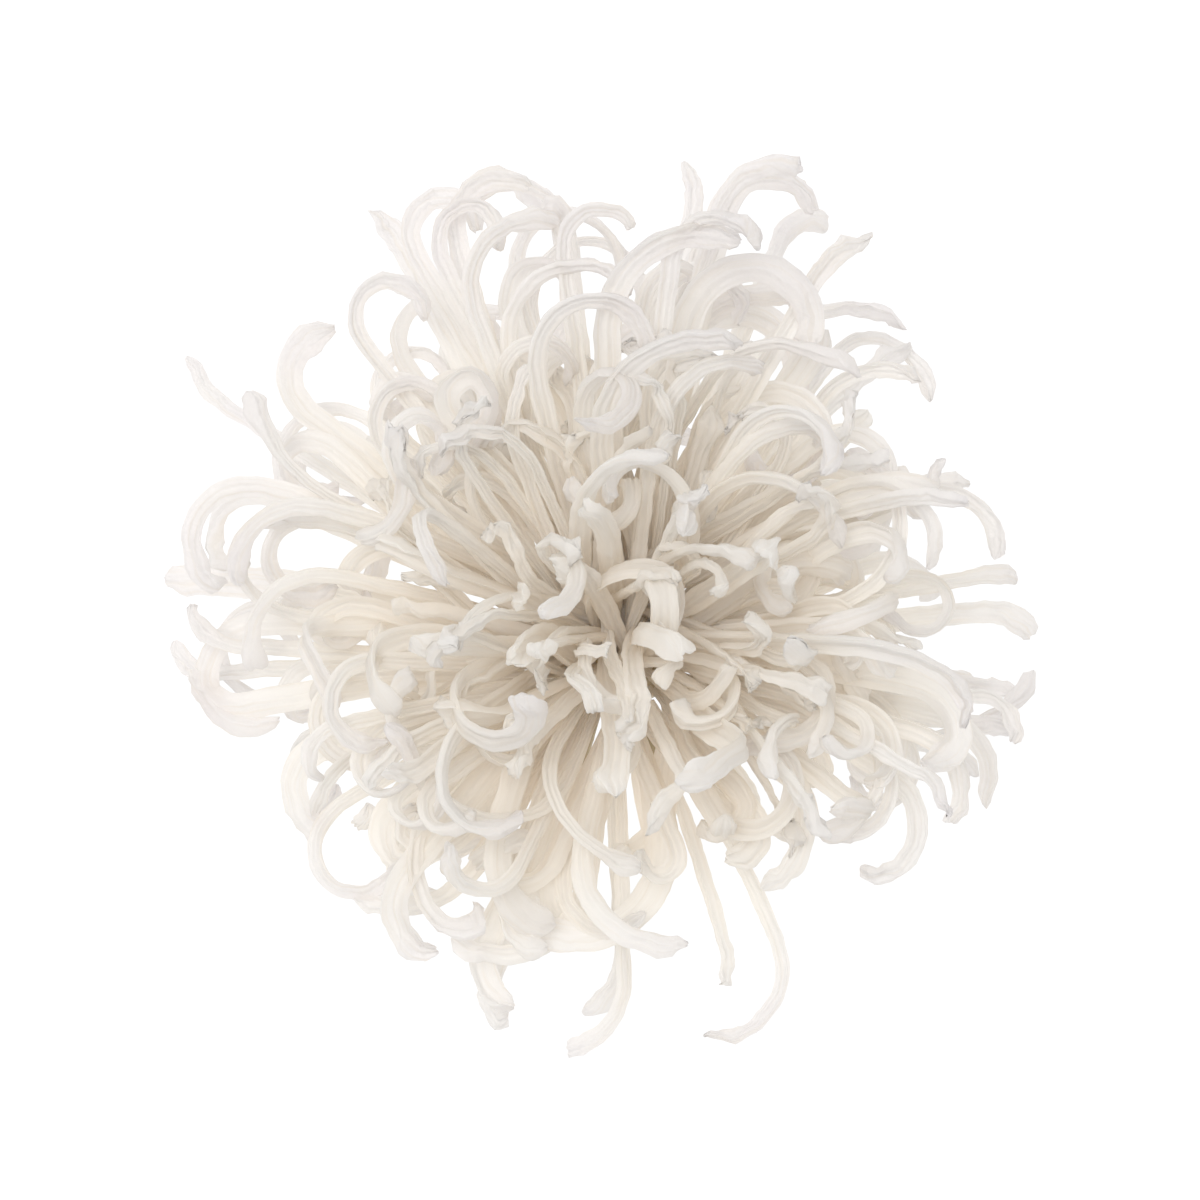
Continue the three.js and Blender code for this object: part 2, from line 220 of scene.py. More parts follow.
def fill_rows(count, seed):
    """Rows for florets in a spiral that climbs from the rim of the head to its middle."""
    dice = random.Random(seed)
    rows = []
    for index in range(count):
        climb = (index + 0.5) / count
        bearing = (index * GOLDEN_ANGLE) % 360
        lift = 0.5 + 0.5 * math.sin(math.radians(bearing))
        rise = LOWEST_RISE + (HIGHEST_RISE - LOWEST_RISE) * climb ** 1.2 * (0.36 + 0.64 * lift)
        reach = float(np.interp(bearing, REACH_BEARINGS, REACHES))
        length = reach * (1 - (0.16 + 0.2 * lift) * climb ** 1.5) * dice.uniform(0.8, 1.06)
        kept = float(np.interp(bearing, REACH_BEARINGS, KEPT)) * (1 - 0.7 * climb * (1 - lift))
        thinned = dice.random() > kept
        left = LEFT_FROM < bearing < LEFT_TO or dice.random() < 0.12
        side = dice.uniform(65, 110) * (1 if left else -1)
        if dice.random() < STRAY_SIDES:
            side = dice.uniform(-50, 50)
        hook = dice.choice(HOOK_ANGLES) * dice.uniform(0.85, 1.1)
        share = 10 + hook * (0.095 + 0.035 * lift) + dice.uniform(-4, 6)
        arch = LOWER_SIDE_ARCH * (1 - lift)
        rows.append([
            bearing + dice.uniform(-7, 7), rise + 0.8 * arch + dice.uniform(-5, 5), length,
            dice.uniform(-16, 16), dice.uniform(14, 32) * (1 - 0.5 * climb) + arch, hook, side,
            share, dice.uniform(70, 108), dice.uniform(-35, 35),
        ])
        if thinned:
            rows.pop()
    return rows


FILL_FLORETS = fill_rows(FILL_COUNT, FILL_SEED)
print(len(FILL_FLORETS), "florets fill the head")

# %% [markdown]
# ## The tuft in the middle
# The youngest florets stand up next to the eye, on the side that the head leans to. They are
# short and crumpled, and their ends curl over to both sides. They fan out by chance from a
# fixed seed, and the later ones in the list are the shorter and the steeper.

# %% Fill the tuft
TUFT_COUNT = 68
TUFT_SEED = 5
TUFT_BEARING = 92
TUFT_HOOKS = [110, 150, 190, 230]


def tuft_rows(count, seed):
    """Rows for short steep florets; the later rows are the shorter and the steeper."""
    dice = random.Random(seed)
    rows = []
    for index in range(count):
        climb = (index + 0.5) / count
        bearing = TUFT_BEARING + dice.uniform(-1, 1) * (56 - 6 * climb)
        rise = 40 + 27 * climb + dice.uniform(-4, 4)
        length = 74 - 26 * climb + dice.uniform(-5, 5)
        hook = dice.choice(TUFT_HOOKS) * dice.uniform(0.85, 1.1)
        rows.append([
            bearing, rise, length, dice.uniform(-16, 16), dice.uniform(4, 18), hook,
            dice.uniform(40, 130) * dice.choice([-1, 1]), 12 + hook * 0.12,
            dice.uniform(52, 84), dice.uniform(-50, 50),
        ])
    return rows


TUFT_FLORETS = tuft_rows(TUFT_COUNT, TUFT_SEED)
print(len(TUFT_FLORETS), "florets stand in the tuft")

# %% [markdown]
# ## How a floret grows
# Each blade starts at its root on the round receptacle and goes forward in equal steps,
# turning a little at each. That is how a plotter's turtle draws, and it gives smooth bends
# and true lengths whatever the numbers are.

# %% Directions and turning
UP = np.array([0.0, 0.0, 1.0])
LEAN = math.radians(HEAD_LEAN)
AXIS = np.array([0.0, math.sin(LEAN), math.cos(LEAN)])
STEM_RADIUS = STEM_DIAMETER / 2
HEAD_HEIGHT = ((RECEPTACLE_RADIUS + STEM_LENGTH) * math.cos(LEAN)
               + STEM_RADIUS * math.sin(LEAN))
HEAD = np.array([0.0, 0.0, HEAD_HEIGHT])
ROOT_RADIUS = RECEPTACLE_RADIUS + GAP


def direction(bearing, rise):
    b, r = math.radians(bearing), math.radians(rise)
    return np.array([math.cos(r) * math.cos(b), math.cos(r) * math.sin(b), math.sin(r)])


def unit(vector):
    return vector / np.linalg.norm(vector)


def turned(vector, axis, angle):
    """The vector turned about a unit axis by an angle in radians."""
    c, s = math.cos(angle), math.sin(angle)
    return vector * c + np.cross(axis, vector) * s + axis * axis.dot(vector) * (1 - c)


def smoothstep(x, low, high):
    t = np.clip((x - low) / (high - low), 0, 1)
    return t * t * (3 - 2 * t)


# %% One blade from one line
def new_blade(name, row, root=ROOT_WIDTH, ruffle=1.0):
    bearing, rise, length, sweep, droop, hook, side, share, width, twist = row
    return {
        "name": name, "kind": "floret", "heading": direction(bearing, rise),
        "length": FLORET_LENGTH * length / 100, "sweep": sweep, "droop": droop,
        "hook": hook, "side": side, "share": share / 100, "twist": twist,
        "width": FLORET_WIDTH * width / 100, "root": root,
        "thick": FLORET_THICKNESS, "steps": STEPS, "ruffle": ruffle,
    }


def new_bract(index):
    heading = direction(360 * (index + 0.5) / BRACT_COUNT, -BRACT_FALL)
    heading = turned(heading, np.array([-1.0, 0.0, 0.0]), LEAN)
    return {
        "name": f"bract_{index + 1}", "kind": "bract", "heading": heading,
        "length": BRACT_LENGTH, "sweep": 0, "droop": -BRACT_FALL, "hook": 0, "side": 0,
        "share": 0.5, "twist": 0, "width": BRACT_WIDTH, "root": BRACT_WIDTH * 0.7,
        "thick": BRACT_THICKNESS, "steps": BRACT_STEPS, "ruffle": 0.5,
    }


def width_at(blade, share):
    opening = smoothstep(share, 0, 0.45)
    closing = smoothstep(share, 0.8, 1)
    broad = blade["root"] + (blade["width"] - blade["root"]) * opening
    return broad * (1 - (1 - TIP_SHARE) * closing)


# %% Spread the roots over the receptacle
SPREAD_ROUNDS = 60
ROOT_GAP = GAP


def spread_roots(blades, fixed=()):
    """Feet push one another along the receptacle until each has room."""
    everyone = list(fixed) + list(blades)
    for blade in blades:
        blade["site"] = blade["heading"].copy()
    sites = np.array([b["site"] for b in everyone])
    feet = np.array([b["root"] for b in everyone])
    still = np.array([i < len(fixed) or b["kind"] == "bract"
                      for i, b in enumerate(everyone)])
    for _ in range(SPREAD_ROUNDS):
        for i in range(len(everyone)):
            room = ((feet[i] + feet[i + 1:]) / 2 + ROOT_GAP) / ROOT_RADIUS
            near = np.linalg.norm(sites[i + 1:] - sites[i], axis=1) < room
            for j in i + 1 + np.flatnonzero(near):
                apart = sites[j] - sites[i]
                lacking = room[j - i - 1] - np.linalg.norm(apart)
                if lacking <= 0 or (still[i] and still[j]):
                    continue
                apart = unit(apart) * lacking / 2
                if not still[i]:
                    sites[i] = unit(sites[i] - apart * (2 if still[j] else 1))
                if not still[j]:
                    sites[j] = unit(sites[j] + apart * (2 if still[i] else 1))
    for blade, site in zip(everyone, sites):
        blade["site"] = site


# %% Grow a blade
def grow(blade):
    step = blade["length"] / blade["steps"]
    heading = blade["heading"].copy()
    left = unit(np.cross(UP, heading))
    over = np.cross(heading, left)
    blade["left"] = left.copy()
    points = [HEAD + blade["site"] * ROOT_RADIUS]
    for station in range(blade["steps"]):
        share = (station + 0.5) / blade["steps"]
        curling = smoothstep(share, 1 - blade["share"] * 1.3, 1 - blade["share"] * 0.7)
        curl = blade["hook"] * curling / (blade["share"] * blade["steps"])
        side = math.radians(blade["side"])
        turn_left = math.radians(blade["sweep"] / blade["steps"] + curl * math.sin(side))
        turn_up = math.radians(curl * math.cos(side) - blade["droop"] / blade["steps"])
        heading, left = (turned(v, over, turn_left) for v in (heading, left))
        heading, over = (turned(v, left, -turn_up) for v in (heading, over))
        points.append(points[-1] + heading * step)
    blade["points"] = np.array(points)


# %% [markdown]
# ## Florets that lie against each other
# Blades that grow where they like pass through one another. A rigid body simulation could
# part them, but a simpler picture does most of the work: a floret is a springy strip held at
# its root. Rows of beads on each blade find where two are too close, and both bend away like
# strips pushed at that place. The florets of the frame all find room in this way. The whole
# crowd does not: after a fixed number of rounds many still cross, about half of them close
# to their roots. The pair of numbers printed is the last round, counted from 0, and how many
# pairs it found too close.

# %% Beads on a blade, and its bending
BEADS_PER_STEP = 4


def bead_rows(blade):
    """Test points on the blade's middle and both edges, with the share of each."""
    points, steps = blade["points"], blade["steps"]
    along = np.empty_like(points)
    along[1:-1] = points[2:] - points[:-2]
    along[0], along[-1] = points[1] - points[0], points[-1] - points[-2]
    along /= np.linalg.norm(along, axis=1)[:, None]
    across = np.empty_like(points)
    carried = blade["left"]
    for station in range(steps + 1):
        carried = unit(carried - along[station] * along[station].dot(carried))
        twist = math.radians(blade["twist"]) * station / steps
        across[station] = turned(carried, along[station], twist)
    blade["along"], blade["across"] = along, across
    place = np.arange(steps * BEADS_PER_STEP + 1) / BEADS_PER_STEP
    station = np.minimum(place.astype(int), steps - 1)
    part = (place - station)[:, None]
    centre = points[station] * (1 - part) + points[station + 1] * part
    side = across[station] * (1 - part) + across[station + 1] * part
    share = place / steps
    reach = np.maximum(width_at(blade, share) - blade["thick"], 0)[:, None] / 2
    rows = [centre - side * reach, centre, centre + side * reach]
    return np.concatenate(rows), np.concatenate([share] * 3)


def bend(share, pushed):
    """How far a strip held at its root moves at share when it is pushed at pushed."""
    place = max(pushed, 0.25)
    inner = share * share * (3 * place - share) / (2 * place ** 3)
    return np.where(share <= place, inner, 1 + 1.5 * (share - place) / place)


def push_blade(blade, pushed, by):
    steps = blade["steps"]
    step = blade["length"] / steps
    moved = blade["points"] + bend(np.arange(steps + 1) / steps, pushed)[:, None] * by
    pieces = np.diff(moved, axis=0)
    pieces *= step / np.linalg.norm(pieces, axis=1)[:, None]
    blade["points"] = moved[0] + np.concatenate([[np.zeros(3)], np.cumsum(pieces, axis=0)])


# %% Find the closest places of every pair
def close_pairs(at, owner, radius, cell, movable):
    """The deepest contact of each pair of blades, as indices of two beads and its depth."""
    grid = np.floor((at - at.min(0)) / cell).astype(np.int64) + 1
    size = grid.max(0) + 2
    key = (grid[:, 0] * size[1] + grid[:, 1]) * size[2] + grid[:, 2]
    order = np.argsort(key, kind="stable")
    sorted_key = key[order]
    best = {}
    for dx in (-1, 0, 1):
        for dy in (-1, 0, 1):
            for dz in (-1, 0, 1):
                wanted = key + (dx * size[1] + dy) * size[2] + dz
                first = np.searchsorted(sorted_key, wanted, "left")
                count = np.searchsorted(sorted_key, wanted, "right") - first
                a = np.repeat(np.arange(len(key)), count)
                start = np.repeat(first - np.concatenate([[0], np.cumsum(count)[:-1]]), count)
                b = order[start + np.arange(len(a))]
                keep = (owner[a] < owner[b]) & (movable[owner[a]] | movable[owner[b]])
                a, b = a[keep], b[keep]
                apart = np.linalg.norm(at[a] - at[b], axis=1)
                lacking = radius[a] + radius[b] + GAP - apart
                keep = lacking > SLACK
                for i, j, depth in zip(a[keep], b[keep], lacking[keep]):
                    pair = (owner[i], owner[j])
                    if pair not in best or best[pair][2] < depth:
                        best[pair] = (i, j, depth)
    return list(best.values())


def settle(blades, rounds, fixed=()):
    """Blades that come too close bend apart, and those that sink into the table rise."""
    everyone = list(fixed) + list(blades)
    movable = np.array([i >= len(fixed) for i in range(len(everyone))])
    cell = max(b["thick"] for b in everyone) + GAP
    for turn in range(rounds):
        parts = [bead_rows(b) for b in everyone]
        at = np.concatenate([p[0] for p in parts])
        share = np.concatenate([p[1] for p in parts])
        owner = np.repeat(np.arange(len(everyone)), [len(p[0]) for p in parts])
        radius = np.array([b["thick"] / 2 for b in everyone])[owner]
        pairs = close_pairs(at, owner, radius, cell, movable)
        for i, j, depth in pairs:
            apart = at[i] - at[j]
            apart = UP.copy() if np.linalg.norm(apart) < 1e-9 else unit(apart)
            both = movable[owner[i]] and movable[owner[j]]
            by = apart * depth * (0.55 if both else 1.05)
            if movable[owner[i]]:
                push_blade(everyone[owner[i]], share[i], by)
            if movable[owner[j]]:
                push_blade(everyone[owner[j]], share[j], -by)
        sunk = 0
        for index, blade in enumerate(everyone):
            mine = owner == index
            depth = radius[mine] - at[mine][:, 2]
            worst = int(depth.argmax())
            if movable[index] and depth[worst] > SLACK:
                push_blade(blade, share[mine][worst], UP * depth[worst])
                sunk += 1
        if not pairs and not sunk:
            break
    for blade in everyone:
        bead_rows(blade)
    return turn, len(pairs)


# %% Grow and settle the florets of the frame
FRAME_ROUNDS = 60
blades = [new_blade(f"floret_{i + 1:02d}", row) for i, row in enumerate(FLORETS)]
bracts = [new_bract(i) for i in range(BRACT_COUNT)]
framed = blades + bracts
spread_roots(framed)
for blade in framed:
    grow(blade)
print("frame's blades settled:", settle(framed, FRAME_ROUNDS))

# %% [markdown]
# ## Putting the flower where the frame has it
# The frame's boxes say where each of its florets is. The grown flower is moved as a whole so
# that its florets sit in those boxes as nearly as they can, and the largest difference left
# between a floret's place and its box is printed.

# %% Match the frame
def outline_box(blade):
    at, _ = bead_rows(blade)
    half = blade["thick"] / 2
    return at.min(0) - half, at.max(0) + half


def frame_shift(blades):
    shifts = []
    for blade in blades:
        low, high = (np.array(c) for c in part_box(blade["name"]))
        own_low, own_high = outline_box(blade)
        shifts.append((low + high - own_low - own_high) / 2)
    return np.array(shifts)


SHIFT = np.median(frame_shift(blades), axis=0)
left_over = np.abs(frame_shift(blades) - SHIFT).max()
HEAD_PLACE = HEAD + SHIFT
print("moved by mm", np.round(SHIFT * 1000, 2), "largest difference mm",
      round(left_over * 1000, 2))

# %% Grow and settle the others around them
TUFT_RUFFLE = 2.2
others = [new_blade("more", row, FINE_ROOT_WIDTH) for row in MORE_FLORETS + FILL_FLORETS]
others += [new_blade("tuft", row, FINE_ROOT_WIDTH, TUFT_RUFFLE) for row in TUFT_FLORETS]
SETTLE_ROUNDS = 14
spread_roots(others, fixed=framed)
for blade in others:
    grow(blade)
print("all blades settled:", settle(others, SETTLE_ROUNDS, fixed=framed))

# %% Keep them inside the flower's outline and above the table
LYING_HEIGHT = 1.3 * MM
TOP_HEIGHT = 60 * MM
OUTLINE = [57, 47, 61, 68, 63, 59, 59, 52, 47, 47, 40, 47, 57]


def fitted(blade):
    """Shorten a blade that reaches past the outline; returns how much of it is left."""
    root, points = blade["points"][0], blade["points"]
    around = np.degrees(np.arctan2(points[:, 1], points[:, 0])) % 360
    room = np.interp(around, REACH_BEARINGS, OUTLINE) * MM
    past = np.hypot(points[:, 0], points[:, 1]) / room
    past = max(past.max(), ((points[:, 2] - root[2]) / (TOP_HEIGHT - root[2])).max(), 1.0)
    blade["points"] = root + (points - root) / past
    blade["points"][:, 2] = np.maximum(blade["points"][:, 2], LYING_HEIGHT)
    blade["length"] /= past
    bead_rows(blade)
    return 1 / past


left = [fitted(blade) for blade in others]
print(sum(part < 1 for part in left), "florets shortened, the most to", round(min(left), 2))
print("highest point in mm:", max(b["points"][:, 2].max() for b in others) / MM)

# %% [markdown]
# ## From a path to a blade
# A floret is a tube pressed flat, with fine ribs along it, a cupped blade, a ragged mouth and
# a crumple near the tip. It could be modelled once and bent along each path by a curve
# modifier, but then its ribs and tip would all be alike. A Geometry Nodes tree sweeps a
# circle along each path instead, and moves each point of the sweep to where the ribs, the
# cup, the crumple and the ragged end put it. Widths come with the path, as attributes.

# %% A helper that adds a node
MATH, VECTOR = "ShaderNodeMath", "ShaderNodeVectorMath"


def put(tree, kind, inputs=None, **settings):
    """Add a node with its settings and links; gives the first output that is in use."""
    node = tree.nodes.new(kind)
    for key, value in settings.items():
        setattr(node, key, value)
    for key, value in (inputs or {}).items():
        if isinstance(value, bpy.types.NodeSocket):
            tree.links.new(value, node.inputs[key])
        else:
            node.inputs[key].default_value = value
    return next((socket for socket in node.outputs if socket.enabled), None)


# %% The tree's sockets, and what each path tells it
TREE_SIZES = {
    "Stations": ("NodeSocketInt", 60),
    "Sides": ("NodeSocketInt", 30),
    "Rib count": ("NodeSocketFloat", 3.0),
    "Rib height": ("NodeSocketFloat", 0.2 * MM),
    "Mouth depth": ("NodeSocketFloat", 0.5 * MM),
    "Mouth width": ("NodeSocketFloat", 0.6),
    "Ragged edge": ("NodeSocketFloat", 1.0 * MM),
    "Crumple size": ("NodeSocketFloat", 2.6 * MM),
}
PATH_ATTRIBUTES = {
    "share": "FLOAT", "width": "FLOAT", "thick": "FLOAT", "cup": "FLOAT",
    "pleat": "FLOAT", "mouth": "FLOAT", "crumple": "FLOAT", "seed": "FLOAT", "run": "FLOAT",
    "across": "FLOAT_VECTOR",
}


def new_tree(name):
    tree = bpy.data.node_groups.new(name, "GeometryNodeTree")
    face = tree.interface
    face.new_socket("Geometry", in_out="INPUT", socket_type="NodeSocketGeometry")
    for label, (kind, value) in TREE_SIZES.items():
        face.new_socket(label, in_out="INPUT", socket_type=kind).default_value = value
    face.new_socket("Material", in_out="INPUT", socket_type="NodeSocketMaterial")
    face.new_socket("Geometry", in_out="OUTPUT", socket_type="NodeSocketGeometry")
    return tree


# %% Sweep a circle along the path
def swept_paths(tree, size):
    """The swept mesh, with the captured place, direction and turn of each point."""
    curve = put(tree, "GeometryNodeMeshToCurve", {"Mesh": size["Geometry"]})
    curve = put(tree, "GeometryNodeCurveSplineType", {"Curve": curve},
                spline_type="CATMULL_ROM")
    curve = put(tree, "GeometryNodeResampleCurve", {"Curve": curve,
                                                    "Count": size["Stations"]})
    held = put(tree, "GeometryNodeCaptureAttribute", {"Geometry": curve}).node
    for label, source in (("centre", "GeometryNodeInputPosition"),
                          ("along", "GeometryNodeInputTangent")):
        held.capture_items.new("VECTOR", label)
        tree.links.new(put(tree, source), held.inputs[label])
    ring = put(tree, "GeometryNodeCurvePrimitiveCircle",
               {"Resolution": size["Sides"], "Radius": 1.0})
    around = put(tree, "GeometryNodeCaptureAttribute", {"Geometry": ring}).node
    around.capture_items.new("VECTOR", "section")
    tree.links.new(put(tree, "GeometryNodeInputPosition"), around.inputs["section"])
    sweep = put(tree, "GeometryNodeCurveToMesh", {
        "Curve": held.outputs["Geometry"], "Profile Curve": around.outputs["Geometry"],
        "Fill Caps": True})
    return sweep, held.outputs["centre"], held.outputs["along"], around.outputs["section"]


# %% Shape the section: ribs, cup, ragged mouth and crumple
def floret_tree():
    tree = new_tree("Floret blades")
    size = put(tree, "NodeGroupInput").node.outputs
    sweep, centre, along, section = swept_paths(tree, size)
    told = {label: put(tree, "GeometryNodeInputNamedAttribute", {"Name": label},
                       data_type=kind) for label, kind in PATH_ATTRIBUTES.items()}
    x = put(tree, "ShaderNodeSeparateXYZ", {0: section})
    y = x.node.outputs["Y"]
    across = put(tree, VECTOR, {0: told["across"]}, operation="NORMALIZE")
    through = put(tree, VECTOR, {0: along, 1: across}, operation="CROSS_PRODUCT")

    # The last station is narrower and drawn back inside the tube: an open mouth.
    last = put(tree, "FunctionNodeCompare", {0: told["share"], 1: 0.9999},
               data_type="FLOAT", operation="GREATER_THAN")
    shrink = put(tree, "ShaderNodeMix", {0: last, 2: 1.0, 3: size["Mouth width"]},
                 data_type="FLOAT")
    back = put(tree, MATH, {0: last, 1: size["Mouth depth"]}, operation="MULTIPLY")
    back = put(tree, MATH, {0: back, 1: told["mouth"]}, operation="MULTIPLY")

    # Ribs stand on both faces and fade out at the blade's edges.
    rib = put(tree, MATH, {0: x, 1: math.pi}, operation="MULTIPLY")
    rib = put(tree, MATH, {0: rib, 1: size["Rib count"]}, operation="MULTIPLY")
    rib = put(tree, MATH, {0: rib}, operation="COSINE")
    rib = put(tree, MATH, {0: rib, 1: size["Rib height"]}, operation="MULTIPLY")
    up = put(tree, MATH, {0: told["thick"], 1: 0.5, 2: rib}, operation="MULTIPLY_ADD")
    up = put(tree, MATH, {0: up, 1: y}, operation="MULTIPLY")

    # The cup lifts both edges; a pleat leans the sheet to and fro, a little off the middle.
    cup = put(tree, MATH, {0: x, 1: x, 2: -0.35}, operation="MULTIPLY_ADD")
    cup = put(tree, MATH, {0: cup, 1: told["cup"]}, operation="MULTIPLY")
    pleat = put(tree, MATH, {0: x, 1: 4.2, 2: told["seed"]}, operation="MULTIPLY_ADD")
    pleat = put(tree, MATH, {0: pleat}, operation="SINE")
    lean = put(tree, MATH, {0: pleat, 1: told["pleat"], 2: cup}, operation="MULTIPLY_ADD")
    up = put(tree, MATH, {0: lean, 1: told["width"], 2: up}, operation="MULTIPLY_ADD")
    up = put(tree, MATH, {0: up, 1: shrink}, operation="MULTIPLY")
    aside = put(tree, MATH, {0: x, 1: told["width"]}, operation="MULTIPLY")
    aside = put(tree, MATH, {0: aside, 1: 0.5}, operation="MULTIPLY")
    aside = put(tree, MATH, {0: aside, 1: shrink}, operation="MULTIPLY")

    # The mouth is torn: its edge is pulled back more or less by a noise round the section.
    torn = put(tree, "ShaderNodeTexNoise", {"Vector": section, "W": told["seed"],
                                            "Scale": 1.6, "Detail": 3.0},
               noise_dimensions="4D")
    near_tip = put(tree, "ShaderNodeMapRange",
                   {0: told["share"], 1: 0.93, 2: 1.0, 3: 0.0, 4: 1.0})
    torn = put(tree, MATH, {0: torn, 1: near_tip}, operation="MULTIPLY")
    back = put(tree, MATH, {0: torn, 1: size["Ragged edge"], 2: back},
               operation="MULTIPLY_ADD")
    back = put(tree, MATH, {0: back, 1: -1.0}, operation="MULTIPLY")

    place = put(tree, VECTOR, {0: across, 1: aside, 2: centre}, operation="MULTIPLY_ADD")
    place = put(tree, VECTOR, {0: through, 1: up, 2: place}, operation="MULTIPLY_ADD")
    place = put(tree, VECTOR, {0: along, 1: back, 2: place}, operation="MULTIPLY_ADD")

    # Crumple: a soft noise shifts the blade, by an amount that comes with the path.
    spot = put(tree, VECTOR, {0: place, 1: size["Crumple size"]}, operation="DIVIDE")
    noise = put(tree, "ShaderNodeTexNoise", {"Vector": spot, "W": told["seed"],
                                             "Scale": 1.0, "Detail": 2.0},
                noise_dimensions="4D").node.outputs["Color"]
    noise = put(tree, VECTOR, {0: noise, 1: (0.5, 0.5, 0.5)}, operation="SUBTRACT")
    place = put(tree, VECTOR, {0: noise, 1: told["crumple"], 2: place},
                operation="MULTIPLY_ADD")
    # What lies on the table is pressed flat against it.
    place = put(tree, VECTOR, {0: place, 1: (-1.0, -1.0, 0.0)}, operation="MAXIMUM")
    blade = put(tree, "GeometryNodeSetPosition", {"Geometry": sweep, "Position": place})

    # What the finish needs: place across and along the blade in metres, and the seed.
    run = put(tree, MATH, {0: told["share"], 1: told["run"]}, operation="MULTIPLY")
    grain = put(tree, "ShaderNodeCombineXYZ", {0: aside, 1: run, 2: told["seed"]})
    blade = put(tree, "GeometryNodeStoreNamedAttribute",
                {"Geometry": blade, "Name": "grain", "Value": grain},
                data_type="FLOAT_VECTOR", domain="POINT")
    blade = put(tree, "GeometryNodeSetShadeSmooth", {"Geometry": blade})
    blade = put(tree, "GeometryNodeRealizeInstances", {"Geometry": blade})
    blade = put(tree, "GeometryNodeSetMaterial",
                {"Geometry": blade, "Material": size["Material"]})
    put(tree, "NodeGroupOutput", {"Geometry": blade})
    return tree


FLORET_TREE = floret_tree()
print("nodes in the blade tree:", len(FLORET_TREE.nodes))

# %% [markdown]
# ## The finish of a preserved floret
# A preserved floret is a petal whose water was replaced by a wax-like fluid after bleaching.
# It keeps a soft satin skin and lets light through, so one layer looks nearly white and
# layers that lie over each other look cream. Subsurface scattering could do that, but a
# blade under a millimetre thick is better seen as a sheet: a Principled surface mixed with a
# Translucent one, both in the same slightly uneven cream, with fine veins along the blade.

# %% Colours
def linear(hex_colour):
    """A hex sRGB colour as the linear values that a shader needs."""
    value = hex_colour.lstrip("#")
    parts = [int(value[i:i + 2], 16) / 255 for i in (0, 2, 4)]
    turned_linear = [c / 12.92 if c <= 0.04045 else ((c + 0.055) / 1.055) ** 2.4
                     for c in parts]
    return (*turned_linear, 1.0)


# The beige is painted warm shade: it warms the roots, deep in the middle where the florets
# crowd.
PETAL_PALE, PETAL_CREAM, PETAL_ROOT_SHADE_BEIGE = "#F8F5F4", "#FCFAF6", "#FAF3E8"
PETAL_VEIN = "#EFE6D8"
PETAL_IOR = 1.42
PATCH_SIZE = 8 * MM
VEIN_SPACING = 0.42 * MM
VEIN_LENGTH = 14 * MM
VEIN_SHOW = 0.45
WRINKLE_SIZE = 0.9 * MM
RELIEF = 0.2 * MM
LIGHT_THROUGH = 0.7


